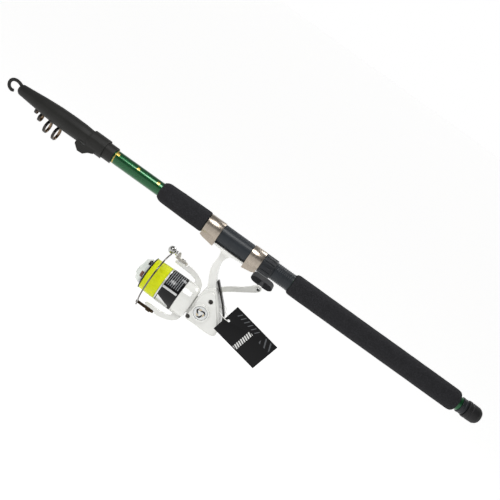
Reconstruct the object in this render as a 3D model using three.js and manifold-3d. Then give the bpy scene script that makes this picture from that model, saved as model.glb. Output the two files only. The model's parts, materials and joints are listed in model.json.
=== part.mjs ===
// Telescopic fishing rod with a front-drag spinning reel, closed for carrying.
// Millimetres. +X runs along the rod to its butt, so the tip points to -X.
// +Z is up and the reel hangs below the rod. The origin is on the rod's axis,
// over the reel's leg, where the hand holds it.
import * as THREE from 'three';
import { mergeVertices } from 'three/addons/utils/BufferGeometryUtils.js';
import Module from 'manifold-3d';

const wasm = await Module();
wasm.setup();

// ---------- driving dimensions ----------
const GAP = 0.3;                 // clearance between pieces that touch
const ROUND = 24;                // sides of a large round piece
const SMALL_ROUND = 14;          // sides of a small round piece

const TUBE = { front: -197, rear: 318, outer: 8.4, inner: 7.4 };
const SECTIONS = [
  { name: 'section_2', front: -243, rear: 300, outer: 6.8, inner: 6.0 },
  { name: 'section_3', front: -255.8, rear: 296, outer: 5.6, inner: 4.9 },
  { name: 'section_4', front: -267.8, rear: 292, outer: 4.5, inner: 3.8 },
  { name: 'section_5', front: -275.4, rear: 288, outer: 3.4, inner: 2.8 },
];
const TIP_SECTION = { front: -286, rear: 284, outer: 2.4, tip: 1.3 };
const GUIDES = [
  { name: 'guide_2', x: -243.4, collar: 14, ring: 8.6, drop: 19.2, insert: 6.4 },
  { name: 'guide_3', x: -256.2, collar: 9, ring: 8.0, drop: 18.6, insert: 5.9 },
  { name: 'guide_4', x: -268.2, collar: 7, ring: 5.2, drop: 14.0, insert: 3.4 },
  { name: 'guide_5', x: -275.8, collar: 5, ring: 3.4, drop: 10.4, insert: 1.8 },
];
const GUIDE_PLATE = 3.2;         // depth of a guide's hoop along the rod
const GUIDE_NECK = 2.9;          // half width of a guide where it leaves the cap

const CAP = { nose: -303.6, mouth: -169.6, wall: 1.4, slotFront: -282, slotHalf: 4.2 };
const HOOK_R = 2.1;
const LOCK = { front: -203, rear: -181.7, inner: 10.65, outer: 12.1, fin: 9.9, finThick: 1.6 };

const FOREGRIP = { front: -103.5, rear: -39.2, frontR: 12.5, rearR: 13.3, nose: 9.4 };
const SEAT = { front: -38.9, rear: 80, r: 10.8, bedR: 11.5, bedFront: -18.6, bedRear: 21.6 };
const BED = 11.0;                // distance of the foot's bed from the rod's axis
const HOOD_R = 12.4;
const FIXED_HOOD = { front: -38.6, rear: -19.0 };
const SLIDING_HOOD = { front: 22.0, rear: 38.4 };
const NUT = { front: 38.8, rear: 55, r: 12.2, ribs: 14 };
const GRIP = { front: 80.4, rear: 313.4, r: 13.3 };
const FERRULE = { front: 313.8, rear: 325.6, r: 9.6 };
const BUTT = { front: 326, rear: 345.7, r: 10.5, face: 6.2 };

const SPOOL_DROP = 95.5;         // rod axis down to the spool axis
const GEAR = { x: 15.4, drop: 91.3 };   // crank axis
const ROTOR_TURN = THREE.MathUtils.degToRad(-26);

const FOOT = { front: -28, rear: 30.5, top: BED + GAP, half: 8.4, tip: 5.4 };
const BODY = { left: -9.6, right: 13, wall: 2.2, coverLeft: -14 };
const NOSE = { seat: 9.6, shaftWay: 8.1 };       // bores in the gearbox's front boss
const LEG_HALF = 4.6;
const LEVER_X = 23;              // pivot of the anti-reverse lever
const GUARD_HALF = 3.6;          // half width of the strip behind the gearbox

const SHAFT_R = 1.5;             // main shaft
const SPOOL_BORE = SHAFT_R + GAP + 0.1;
// The oscillation gear. The spool's stroke is twice the radius that its pin turns on.
const OSC = { x: 27.7, drop: 89.0, pin: 4.4 };
const SLIDER = { front: OSC.x + OSC.pin - 3.4, rear: OSC.x + OSC.pin + 3.4 };
const CRANK_SHAFT_R = 2.4;
const CRANK_BEARING = { r: 5.6, seat: 5.9, width: 2.4 };
const HOLE_CAP = { r: 8.6, well: 9.0, rim: 10.9, plug: 5.2 };
const SCREWS = [[17.8, 72.6], [4.9, 105.0]];     // x and drop of each cover screw
const SCREW = { head: 2.6, shank: 1.5, recess: 3.0, hole: 1.9 };
const CRANK = { armY: 39, armThick: 3.6, x: 55.6, drop: 46 };
const KNOB = { neckNear: 44, near: 60, far: 78, length: 32, thick: 8.4, neckR: 3.7, bore: 2.1 };
const KNOB_PIN_R = 1.8;

const SKIRT = { front: -40.3, rear: -18.0, outer: 22, inner: 20.3 };
const LINE = { front: -62.6, rear: -41.6, core: 15.3, frontR: 20.8, rearR: 21.7 };
const LIP = { front: -64.2, r: 21.3 };
const DRAG = { front: -75.6, rear: -65.0, r: 16.8 };

const ARM = { inner: 27.6, outer: 35.2, halfWidth: 8, pivotX: -38 };
const BAIL = { depth: 43.5, half: 34.8, x: -53.5, r: 0.95 };
const LEVER = { inner: 33.2, outer: 36.6 };      // the bail's two levers lie on the arms' ends
const ROLLER_OUT = 39;           // distance of the line roller from the spool axis

const TAG = { x: 47.2, y: -20, drop: 75.6, edge: 5, tilt: 11, width: 41, length: 66, thick: 0.9 };
const TIE_R = 0.45;

// ---------- small helpers ----------
const root = new THREE.Group();

function paint(color, roughness, metalness) {
  return { color, roughness, metalness };
}

const FINISH = {
  blank: paint(0x0b6a3a, 0.2, 0.4),
  carbon: paint(0x1b1d1f, 0.35, 0.2),
  foam: paint(0x232323, 0.9, 0),
  plastic: paint(0x26272b, 0.5, 0),
  rubber: paint(0x2c2c2f, 0.75, 0),
  steel: paint(0xb9a58c, 0.3, 1),
  chrome: paint(0xc9c9c6, 0.12, 1),
  white: paint(0xf0f1ea, 0.3, 0),
  clear: paint(0xe6ebe6, 0.15, 0),
  brass: paint(0xb89b54, 0.4, 1),
  bronze: paint(0x3a3020, 0.35, 0.8),
  line: paint(0xe4e800, 0.5, 0),
  ceramic: paint(0x1a1a1a, 0.2, 0),
  card: paint(0x141416, 0.6, 0),
  nylon: paint(0xf4f4f0, 0.4, 0),
};

function closed(geometry) {
  // Welds the corners, drops empty triangles and turns the faces outwards.
  const bare = geometry.clone();
  for (const key of Object.keys(bare.attributes)) {
    if (key !== 'position') bare.deleteAttribute(key);
  }
  const welded = mergeVertices(bare, 1e-4);
  const p = welded.attributes.position;
  const source = welded.index.array;
  const kept = [];
  let volume = 0;
  for (let i = 0; i < source.length; i += 3) {
    const [a, b, c] = [source[i], source[i + 1], source[i + 2]];
    if (a === b || b === c || c === a) continue;
    kept.push(a, b, c);
    const va = new THREE.Vector3().fromBufferAttribute(p, a);
    const vb = new THREE.Vector3().fromBufferAttribute(p, b);
    const vc = new THREE.Vector3().fromBufferAttribute(p, c);
    volume += va.dot(vb.cross(vc));
  }
  if (volume < 0) kept.reverse();
  welded.setIndex(kept);
  return welded;
}

function toManifold(geometry) {
  const g = closed(geometry);
  return new wasm.Manifold(new wasm.Mesh({
    numProp: 3,
    vertProperties: new Float32Array(g.attributes.position.array),
    triVerts: new Uint32Array(g.index.array),
  }));
}

function fromManifold(solid) {
  const mesh = solid.getMesh();
  const g = new THREE.BufferGeometry();
  const corners = new Float32Array(mesh.vertProperties);
  g.setAttribute('position', new THREE.BufferAttribute(corners, 3));
  g.setIndex(Array.from(mesh.triVerts));
  return g;
}

function join(...geometries) {
  return fromManifold(geometries.map(toManifold).reduce((a, b) => a.add(b)));
}

function cut(body, ...tools) {
  return fromManifold(tools.map(toManifold).reduce((a, b) => a.subtract(b), toManifold(body)));
}

function add(parent, name, geometry, finish) {
  const mesh = new THREE.Mesh(closed(geometry), new THREE.MeshStandardMaterial(finish));
  mesh.name = name;
  parent.add(mesh);
  return mesh;
}

// Turns a profile of [x, radius] pairs round the X axis.
function turned(profile, sides = ROUND) {
  const points = profile.map(([x, r]) => new THREE.Vector2(r, x));
  return new THREE.LatheGeometry(points, sides).rotateZ(-Math.PI / 2);
}

function ring(front, rear, inner, outer, sides = ROUND) {
  return turned([[front, inner], [front, outer], [rear, outer], [rear, inner], [front, inner]], sides);
}

function rod(front, rear, r, sides = SMALL_ROUND) {
  return turned([[front, 0], [front, r], [rear, r], [rear, 0]], sides);
}

// The same two, turned round a line along Y through (x, -drop).
function alongY(geometry, x, drop) {
  return geometry.rotateZ(Math.PI / 2).translate(x, 0, -drop);
}

function ringY(x, drop, near, far, inner, outer, sides = SMALL_ROUND) {
  return alongY(ring(near, far, inner, outer, sides), x, drop);
}

function rodY(x, drop, near, far, r, sides = SMALL_ROUND) {
  return alongY(rod(near, far, r, sides), x, drop);
}

// The same, turned round a line along Z through (x, y).
function rodZ(x, y, low, high, r, sides = SMALL_ROUND) {
  return rod(low, high, r, sides).rotateY(-Math.PI / 2).translate(x, y, 0);
}

function shapeOf(points) {
  return new THREE.Shape(points.map(([a, b]) => new THREE.Vector2(a, b)));
}

function extruded(shape, depth) {
  return new THREE.ExtrudeGeometry(shape, { depth, bevelEnabled: false, curveSegments: 10 });
}

// Extrudes an outline of [x, z] pairs from y = near to y = far.
function sideways(outline, near, far) {
  const shape = Array.isArray(outline) ? shapeOf(outline) : outline;
  return extruded(shape, far - near).rotateX(Math.PI / 2).translate(0, far, 0);
}

// Extrudes an outline of [y, z] pairs from x = front to x = rear.
function lengthways(outline, front, rear) {
  const shape = Array.isArray(outline) ? shapeOf(outline) : outline;
  const turn = new THREE.Matrix4().makeBasis(
    new THREE.Vector3(0, 1, 0), new THREE.Vector3(0, 0, 1), new THREE.Vector3(1, 0, 0));
  return extruded(shape, rear - front).applyMatrix4(turn).translate(front, 0, 0);
}

// Extrudes an outline of [x, y] pairs from z = low to z = high.
function upright(outline, low, high) {
  const shape = Array.isArray(outline) ? shapeOf(outline) : outline;
  return extruded(shape, high - low).translate(0, 0, low);
}

function box(x0, x1, y0, y1, z0, z1) {
  return new THREE.BoxGeometry(x1 - x0, y1 - y0, z1 - z0)
    .translate((x0 + x1) / 2, (y0 + y1) / 2, (z0 + z1) / 2);
}

// A smooth closed outline through the given points.
function smooth(points, steps) {
  const curve = new THREE.CatmullRomCurve3(
    points.map(([a, b]) => new THREE.Vector3(a, b, 0)), true, 'centripetal');
  return curve.getPoints(steps).slice(0, -1).map((p) => [p.x, p.y]);
}

function tube(points, r, sides, steps) {
  const circle = Array.from({ length: sides }, (_, i) => {
    const a = (i / sides) * 2 * Math.PI;
    return [r * Math.cos(a), r * Math.sin(a)];
  });
  const stops = points.map((p) => new THREE.Vector3(...p));
  const path = new THREE.CatmullRomCurve3(stops, false, 'centripetal');
  return new THREE.ExtrudeGeometry(shapeOf(circle), { steps, extrudePath: path, bevelEnabled: false });
}

// A gear's outline: teeth that reach from the root radius to the tip radius.
function gearOutline(teeth, rootR, tipR) {
  const points = [];
  for (let i = 0; i < teeth; i += 1) {
    const steps = [[0, rootR], [0.3, tipR], [0.5, tipR], [0.8, rootR]];
    for (const [part, r] of steps) {
      const a = ((i + part) / teeth) * 2 * Math.PI;
      points.push([r * Math.cos(a), r * Math.sin(a)]);
    }
  }
  return points;
}

// ---------- the rod ----------
function makeSections() {
  add(root, 'butt_section', ring(TUBE.front, TUBE.rear, TUBE.inner, TUBE.outer), FINISH.blank);
  for (const s of SECTIONS) {
    add(root, s.name, ring(s.front, s.rear, s.inner, s.outer, 20), FINISH.carbon);
  }
  const t = TIP_SECTION;
  add(root, 'tip_section', turned(
    [[t.front, 0], [t.front, t.tip], [t.front + 40, t.outer], [t.rear, t.outer], [t.rear, 0]], 12),
  FINISH.carbon);
}

function guideFrame(g, tubeR) {
  // A collar round the section, and a plate that drops to the ring.
  const inner = tubeR + GAP;
  const collar = ring(g.x, g.x + g.collar, inner, inner + 0.7, 24);
  const outline = new THREE.Shape();
  const top = -(inner + 0.35);
  const joinAngle = Math.asin(Math.min(GUIDE_NECK / g.ring, 0.9));
  const neckZ = -g.drop + g.ring * Math.cos(joinAngle);
  const neck = Math.min(GUIDE_NECK, g.ring * 0.9);
  outline.moveTo(-neck * 0.8, top);
  outline.lineTo(-neck, neckZ);
  const quarter = Math.PI / 2;
  outline.absarc(0, -g.drop, g.ring, quarter + joinAngle, 5 * quarter - joinAngle, false);
  outline.lineTo(neck * 0.8, top);
  const hole = new THREE.Path();
  hole.absarc(0, -g.drop, g.insert + 0.9, 0, 2 * Math.PI, false);
  outline.holes.push(hole);
  return join(collar, lengthways(outline, g.x, g.x + GUIDE_PLATE));
}

function makeGuides() {
  GUIDES.forEach((g, i) => {
    add(root, g.name + '_frame', guideFrame(g, SECTIONS[i].outer), FINISH.chrome);
    const insert = ring(g.x + 0.1, g.x + GUIDE_PLATE - 0.1, g.insert, g.insert + 0.7, 20);
    add(root, g.name + '_ring', insert.translate(0, 0, -g.drop), FINISH.ceramic);
  });
  const t = TIP_SECTION;
  const sleeve = rod(t.front - 3, t.front - GAP, 2.2, 12);
  const eye = ring(-0.6, 0.6, 1.2, 2.1, 12).translate(t.front - 2.2, 0, -3.6);
  add(root, 'tip_top', join(sleeve, eye), FINISH.chrome);
}

function makeTipCap() {
  const w = CAP.wall;
  const outside = [[CAP.nose, 0], [CAP.nose, 4.6], [-301, 6.6], [-284, 8.2], [-270, 9.6],
    [-250, 11.0], [-232, 11.4], [-216, 11.2], [-205, 10.35], [CAP.mouth, 10.35]];
  const inside = [[CAP.mouth, 10.35 - w], [-205, 10.35 - w], [-216, 11.2 - w], [-232, 11.4 - w],
    [-250, 11.0 - w], [-270, 9.6 - w], [-284, 8.2 - w], [-299, 6.6 - w], [-299, 0]];
  const shell = turned([...outside, ...inside], ROUND);
  const slot = box(CAP.slotFront, CAP.mouth + 5, -CAP.slotHalf, CAP.slotHalf, -20, 0);
  const hook = tube([[-300, 0, 2.2], [-306, 0, 5.0], [-311, 0, 5.7], [-316.0, 0, 3.7],
    [-317.9, 0, -1], [-316.2, 0, -5.4], [-311.8, 0, -7.4], [-309.4, 0, -6.6]], HOOK_R, 8, 14);
  add(root, 'tip_cap', join(cut(shell, slot), hook), FINISH.plastic);

  const band = ring(LOCK.front, LOCK.rear, LOCK.inner, LOCK.outer);
  const gate = box(LOCK.front - 1, LOCK.rear + 1, -CAP.slotHalf - 0.3, CAP.slotHalf + 0.3, -20, 0);
  const fin = sideways([[-214.6, -6.9], [-214.6, -11.4], [-208, -17.4], [-201, -17], [-196, -12.4],
    [-190, -9.8], [-190, -6], [-203, -6], [-203, -6.9]],
  -LOCK.fin - LOCK.finThick / 2, -LOCK.fin + LOCK.finThick / 2);
  const bore = rod(LOCK.front - 12, LOCK.rear + 1, LOCK.inner, ROUND);
  add(root, 'cap_lock_ring', join(cut(band, gate), cut(fin, bore)), FINISH.plastic);
}

// ---------- grips and reel seat ----------
function makeGrips() {
  const bore = TUBE.outer + GAP;
  const f = FOREGRIP;
  add(root, 'foregrip', turned([[f.front, bore], [f.front, f.nose], [f.front + 5, f.frontR],
    [f.rear - 2, f.rearR], [f.rear, f.rearR - 1], [f.rear, bore], [f.front, bore]]), FINISH.foam);
  const g = GRIP;
  add(root, 'lower_grip', turned([[g.front, bore], [g.front, g.r - 1.6], [g.front + 3, g.r],
    [g.rear - 4, g.r], [g.rear, g.r - 2.5], [g.rear, bore], [g.front, bore]]), FINISH.foam);
  const n = FERRULE;
  add(root, 'butt_ferrule', turned([[TUBE.rear - 14, 0], [TUBE.rear - 14, TUBE.inner - GAP],
    [TUBE.rear + GAP, TUBE.inner - GAP], [TUBE.rear + GAP, n.r], [n.rear, n.r - 0.6], [n.rear, 0]]),
  FINISH.plastic);
  const b = BUTT;
  add(root, 'butt_cap', turned([[b.front, 0], [b.front, b.r], [b.rear - 5, b.r - 0.4],
    [b.rear - 1.6, b.r - 2.2], [b.rear, b.face], [b.rear, 0]]), FINISH.rubber);
}

function makeSeat() {
  const bore = TUBE.outer + GAP;
  const s = SEAT;
  const barrel = turned([[s.front, bore], [s.front, s.r], [s.bedFront, s.r], [s.bedFront, s.bedR],
    [s.bedRear, s.bedR], [s.bedRear, s.r], [s.rear, s.r], [s.rear, bore], [s.front, bore]]);
  const bed = box(s.bedFront - 1, s.bedRear + 1, -15, 15, -20, -BED);
  add(root, 'seat_barrel', cut(barrel, bed), FINISH.plastic);
}

// A metal hood: a band round the barrel with a scoop below that holds the foot.
function hood(h, scoop, pocket) {
  const band = rod(h.front, h.rear, HOOD_R, ROUND);
  const outer = join(band, sideways(scoop, -8.8, 8.8));
  const barrel = rod(h.front - 1, h.rear + 1, SEAT.r + GAP, ROUND);
  return cut(outer, barrel, sideways(pocket, -7.4, 7.4));
}

function makeHoods() {
  const f = FIXED_HOOD;
  const fixed = hood(f,
    [[f.front, -8], [f.front, -12.6], [f.front + 4, -14.0], [f.rear, -16.4], [f.rear, -8]],
    [[f.front + 6, -8], [f.front + 6, -13.4], [f.rear + 1, -15.6], [f.rear + 1, -8]]);
  add(root, 'fixed_hood', fixed, FINISH.steel);
  const m = SLIDING_HOOD;
  const moving = hood(m,
    [[m.front, -8], [m.front, -16.8], [m.rear - 4, -14.8], [m.rear, -12.6], [m.rear, -8]],
    [[m.front - 1, -8], [m.front - 1, -15.4], [m.rear - 3, -13.4], [m.rear - 3, -8]]);
  add(root, 'sliding_hood', moving, FINISH.steel);
}

function makeNut() {
  const n = NUT;
  const points = [];
  for (let i = 0; i < n.ribs; i += 1) {
    for (const [part, r] of [[0.08, n.r], [0.5, n.r + 0.15], [0.88, n.r], [0.98, n.r - 0.9]]) {
      const a = ((i + part) / n.ribs) * 2 * Math.PI;
      points.push([r * Math.cos(a), r * Math.sin(a)]);
    }
  }
  const body = lengthways(points, n.front, n.rear);
  add(root, 'locking_nut', cut(body, rod(n.front - 1, n.rear + 1, SEAT.r + GAP, ROUND)), FINISH.plastic);
}

// ---------- the reel's body ----------
// Side outline of the gearbox, as [x, z] pairs. The housing and its cover share it.
const GEARBOX = smooth([[1.6, -78], [3.5, -69], [8, -62.5], [12.5, -59.4], [16.4, -60.4], [22.4, -66.8],
  [29.4, -74.8], [35.8, -83.2], [41.2, -92.6], [44.8, -102], [44.4, -107.4], [39, -110], [16, -110],
  [4, -109.8], [1.6, -104], [1.6, -91]], 42);

function inset(outline, by) {
  const cx = 22;
  const cz = -88;
  return outline.map(([x, z]) => {
    const d = Math.hypot(x - cx, z - cz);
    return [cx + ((x - cx) * (d - by)) / d, cz + ((z - cz) * (d - by)) / d];
  });
}

function footAndLeg() {
  const f = FOOT;
  const plan = smooth([[f.front, 0], [f.front + 3, -f.tip], [-8, -f.half], [10, -f.half],
    [f.rear - 3, -f.tip], [f.rear, 0], [f.rear - 3, f.tip], [10, f.half], [-8, f.half],
    [f.front + 3, f.tip]], 32);
  const slab = upright(plan, -17, -f.top);
  const belly = sideways([[f.front - 1, -f.top + 1], [f.front - 1, -12.9], [-9, -14.4], [-5, -16],
    [4, -16], [9, -14.4], [f.rear + 1, -12.9], [f.rear + 1, -f.top + 1]], -12, 12);
  const foot = fromManifold(toManifold(slab).intersect(toManifold(belly)));
  const leg = sideways(smooth([[-6.5, -14.5], [6.5, -14.5], [2.6, -22], [1.8, -33], [5.5, -44],
    [8.8, -51.4], [13.4, -57.8], [18.4, -66], [16, -73], [10, -74], [5, -66], [0.5, -56],
    [-4.2, -46], [-6.2, -36], [-5.6, -24]], 32), -LEG_HALF, LEG_HALF);
  return join(foot, leg);
}

function makeHousing() {
  // The gearbox is an open tub, with the leg above and a boss for the rotor in front.
  const b = BODY;
  const shell = sideways(GEARBOX, b.left, b.right);
  const cavity = sideways(inset(GEARBOX, b.wall), b.left - 1, b.right - b.wall);
  const nose = join(rod(-10, 1.2, 11.5, ROUND), rod(0, 3.4, 9.2, ROUND)).translate(0, 0, -SPOOL_DROP);
  const bearingSeat = rod(-11, -1.9, NOSE.seat, 20).translate(0, 0, -SPOOL_DROP);
  const shaftWay = rod(-2, 8, NOSE.shaftWay, 20).translate(0, 0, -SPOOL_DROP);
  const crankWay = rodY(GEAR.x, GEAR.drop, b.right - 4, b.right + 2, CRANK_BEARING.seat);
  const legClear = box(-10, 30, b.left - 2, b.right - b.wall, -200, -64);
  const leg = cut(footAndLeg(), legClear);
  const leverWay = rodZ(LEVER_X, 0, -112, -105, 1.5, 10);
  const housing = cut(join(cut(shell, cavity), leg, nose), bearingSeat, shaftWay, crankWay, leverWay);
  add(root, 'gearbox_housing', housing, FINISH.white);
}

function makeCover() {
  const b = BODY;
  const plate = sideways(GEARBOX, b.coverLeft + 2, b.left - GAP);
  const crown = sideways(inset(GEARBOX, 2.4), b.coverLeft, b.coverLeft + 2.5);
  const bearingWay = rodY(GEAR.x, GEAR.drop, b.coverLeft - 3, b.left + 1, CRANK_BEARING.seat);
  const hollow = sideways(inset(GEARBOX, 5), b.coverLeft + 1.8, b.left + 1);
  const boss = rodY(GEAR.x, GEAR.drop, b.coverLeft - 2.2, b.left - 1.2, HOLE_CAP.rim, ROUND);
  const well = rodY(GEAR.x, GEAR.drop, b.coverLeft - 4, b.coverLeft - 0.6, HOLE_CAP.well, ROUND);
  const ways = SCREWS.flatMap(([x, drop]) => [
    rodY(x, drop, b.coverLeft - 2, b.left + 1, SCREW.hole, 12),
    rodY(x, drop, b.coverLeft - 2, b.coverLeft + 1.2, SCREW.recess, 14),
  ]);
  const shell = join(cut(join(plate, crown), hollow), boss);
  add(root, 'side_cover', cut(shell, well, bearingWay, ...ways), FINISH.white);
}

function makeBodyFittings() {
  const b = BODY;
  SCREWS.forEach(([x, drop], i) => {
    const head = rodY(x, drop, b.coverLeft - 0.2, b.coverLeft + 0.9, SCREW.head, 12);
    const shank = rodY(x, drop, b.coverLeft + 0.5, b.left - 0.6, SCREW.shank, 10);
    add(root, 'cover_screw_' + (i + 1), join(head, shank), FINISH.bronze);
  });
  const cap = rodY(GEAR.x, GEAR.drop, b.coverLeft - 1.9, b.coverLeft - 0.9, HOLE_CAP.r, ROUND);
  const plug = rodY(GEAR.x, GEAR.drop, b.coverLeft - 1.2, b.coverLeft + 0.2, HOLE_CAP.plug, 16);
  add(root, 'handle_hole_cap', join(cap, plug), FINISH.chrome);
  const guard = sideways([[10.8, -49.6], [21.4, -60.5], [31.9, -71.6], [40.4, -82.5],
    [44.9, -92.4], [47.0, -98.6], [44.6, -98.6], [43.3, -93.2], [38.9, -83.4], [30.6, -72.7],
    [20.2, -61.7], [9.4, -51]], -GUARD_HALF, GUARD_HALF);
  const clear = sideways(inset(GEARBOX, -GAP), -12, 15);
  add(root, 'rear_guard', cut(guard, clear, legClearance()), FINISH.chrome);
}

// The leg's outline a little enlarged, to cut the guard clear of it.
function legClearance() {
  return sideways(smooth([[-6.5, -10], [7.5, -14.5], [3.0, -22], [2.2, -33], [6.0, -44],
    [9.6, -51.2], [14.2, -57.6], [19.2, -66], [17, -74], [8, -76], [2, -66], [-2, -56],
    [-7, -46], [-9, -36], [-8, -24]], 32), -LEG_HALF - 1, LEG_HALF + 1);
}

function makeLever() {
  const lever = sideways([[20, -110.8], [37, -110.8], [40.8, -112.2], [39.4, -114.2],
    [24, -113.4], [20, -112.6]], -2.2, 2.2);
  const pivot = rodZ(LEVER_X, 0, -111, -107.9, 1.1, 10);
  add(root, 'anti_reverse_lever', join(lever, pivot), FINISH.bronze);
}

// ---------- the gear train ----------
function makeGears() {
  const { x, drop } = GEAR;
  const disc = alongY(lengthways(gearOutline(30, 9.9, 11.2), -6.8, -4.2), x, drop);
  const shaft = rodY(x, drop, BODY.coverLeft + 1.2, CRANK.armY - GAP, CRANK_SHAFT_R);
  const small = alongY(lengthways(gearOutline(12, 3.9, 5.0), 4.4, 6.4), x, drop);
  add(root, 'drive_gear', join(disc, shaft, small), FINISH.brass);
  const c = CRANK_BEARING;
  const bore = CRANK_SHAFT_R + GAP;
  const left = ringY(x, drop, BODY.coverLeft + 1.4, BODY.left - GAP, bore, c.r);
  add(root, 'crank_bearing_left', left, FINISH.chrome);
  const right = ringY(x, drop, BODY.right - c.width, BODY.right, bore, c.r);
  add(root, 'crank_bearing_right', right, FINISH.chrome);
  const osc = alongY(lengthways(gearOutline(17, 6.0, 7.1), 4.5, 6.3), OSC.x, OSC.drop);
  const crankPin = rodY(OSC.x + OSC.pin, OSC.drop, 3.7, 5, 1.2, 10);
  add(root, 'oscillation_gear', join(osc, crankPin), FINISH.brass);
}

function makeShaftParts() {
  const g = new THREE.Group();
  g.position.z = -SPOOL_DROP;
  root.add(g);
  add(g, 'main_shaft', rod(-67.8, 38, SHAFT_R), FINISH.chrome);
  const block = box(SLIDER.front, SLIDER.rear, -3.2, 3.2, -3.4, 3.4);
  const fork = box(SLIDER.front + 1, SLIDER.rear - 1, 1.8, 3.3, -3.4, 8.6);
  const slider = cut(join(block, fork), rod(20, 40, SHAFT_R + GAP, 14));
  add(g, 'crosswind_slider', slider, FINISH.brass);
  const teeth = lengthways(gearOutline(6, 2.6, 3.6), 1.2, 12.5);
  const sleeve = rod(-37, 1.3, 3.0, 16);
  add(g, 'pinion', cut(join(teeth, sleeve), rod(-40, 14, SHAFT_R + GAP, 14)), FINISH.brass);
  add(g, 'pinion_bearing', ring(-1.6, 0.8, 3.3, 7.7, 20), FINISH.chrome);
  add(g, 'one_way_clutch', ring(-9.4, -2.4, 3.3, 9.2, 20), FINISH.steel);
}

// ---------- rotor and bail ----------
function rotorCup() {
  return turned([[0.4, 18.8], [-1.4, 21.0], [-5, 22.2], [-17.7, 22.2], [-17.7, 17.9],
    [-33.6, 17.3], [-34.6, 16.3], [-34.6, 3.4], [-31.8, 3.4], [-31.8, 14.6], [-16.6, 15.2],
    [-15.2, 19.6], [-5, 19.6], [0.4, 17.8], [0.4, 18.8]]);
}

function rotorArm(sign) {
  const a = ARM;
  const side = [[-1, 20.5], [-2.4, 25.4], [-7, 29.8], [-14, 33], [-24, a.outer],
    [-29.4, a.outer], [-30, 32.8], [-43, 32.8], [-46, 31], [-44.6, 28.6], [-30, a.inner + 0.6],
    [-18, a.inner - 0.4], [-12.6, 25.6], [-11.4, 20.5]];
  const turnedOut = side.map(([x, z]) => [x, z * sign]);
  const body = sideways(turnedOut, -a.halfWidth, a.halfWidth);
  const plan = smooth([[2, -9], [2, 9], [-20, 8.6], [-38, 7.4], [-47, 3.5], [-47, -3.5], [-38, -7.4],
    [-20, -8.6]], 32);
  const trim = upright(plan, Math.min(10 * sign, 45 * sign), Math.max(10 * sign, 45 * sign));
  const arm = fromManifold(toManifold(body).intersect(toManifold(trim)));
  return cut(arm, screwWay(sign));
}

function alongZ(geometry, x, sign) {
  return geometry.rotateY(-Math.PI / 2 * sign).translate(x, 0, 0);
}

function screwWay(sign) {
  return alongZ(rod(25, 40, 1.9, 12), ARM.pivotX, sign);
}

function makeRotor() {
  const g = new THREE.Group();
  g.position.z = -SPOOL_DROP;
  g.rotation.x = ROTOR_TURN;
  root.add(g);
  add(g, 'rotor', join(rotorCup(), rotorArm(1), rotorArm(-1)), FINISH.white);
  const nut = lengthways(gearOutline(6, 5.4, 5.4), -37.4, -34.9);
  add(g, 'rotor_nut', cut(nut, rod(-40, -30, 3.3)), FINISH.brass);
  makeLevers(g);
  makeBail(g);
}

function makeLevers(g) {
  // A lever on each arm's end. The upper one rises to hold the line roller.
  const plan = smooth([[-31, 0], [-33, -5], [-40, -6], [-46.4, -4.4], [-48.4, 0], [-46.4, 4.4],
    [-40, 6], [-33, 5]], 20);
  const foot = LEVER.outer - 1;
  const riser = sideways([[-42, foot], [-45.2, 42.2], [-47.4, 42.2], [-48.4, 36], [-48.4, foot]],
    -3.2, 3.2);
  const lever = join(upright(plan, LEVER.inner, LEVER.outer), riser);
  add(g, 'bail_lever', cut(lever, screwWay(1)), FINISH.chrome);
  const lowPlan = smooth([[-31, 0], [-33, -5], [-40, -6], [-52, -3.6], [-56.2, 0], [-52, 3.6],
    [-40, 6], [-33, 5]], 20);
  const counter = upright(lowPlan, -LEVER.outer, -LEVER.inner);
  add(g, 'bail_counter_lever', cut(counter, screwWay(-1)), FINISH.bronze);
  for (const [name, sign] of [['bail_screw_upper', 1], ['bail_screw_lower', -1]]) {
    const head = alongZ(rod(LEVER.outer + GAP, LEVER.outer + 1.4, 3.2, 14), ARM.pivotX, sign);
    const shank = alongZ(rod(28.4, LEVER.outer + 0.6, 1.55, 10), ARM.pivotX, sign);
    add(g, name, join(head, shank), FINISH.chrome);
  }
  const roller = ring(-50.9, -49.0, 0.9, 3.4, SMALL_ROUND).translate(0, 0, ROLLER_OUT);
  add(g, 'line_roller', roller, FINISH.chrome);
}

function makeBail(g) {
  const ball = new THREE.SphereGeometry(5.2, 14, 9).translate(-56.5, 0, ROLLER_OUT);
  const pin = rod(-53, -48.7, 0.6, 8).translate(0, 0, ROLLER_OUT);
  const points = [[-56, -1, 36.5], [-54.8, -5, 34.6]];
  const turns = 14;
  for (let i = 1; i < turns; i += 1) {
    const a = (i / turns) * Math.PI;
    points.push([BAIL.x, -BAIL.depth * Math.sin(a), BAIL.half * Math.cos(a) * 0.99]);
  }
  points.push([BAIL.x, -2.2, -LEVER.outer - 1.7], [BAIL.x, 0.6, -LEVER.outer - 1.7]);
  const wire = tube(points, BAIL.r, 6, 32);
  add(g, 'bail_wire', join(ball, pin, wire), FINISH.chrome);
}

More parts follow.
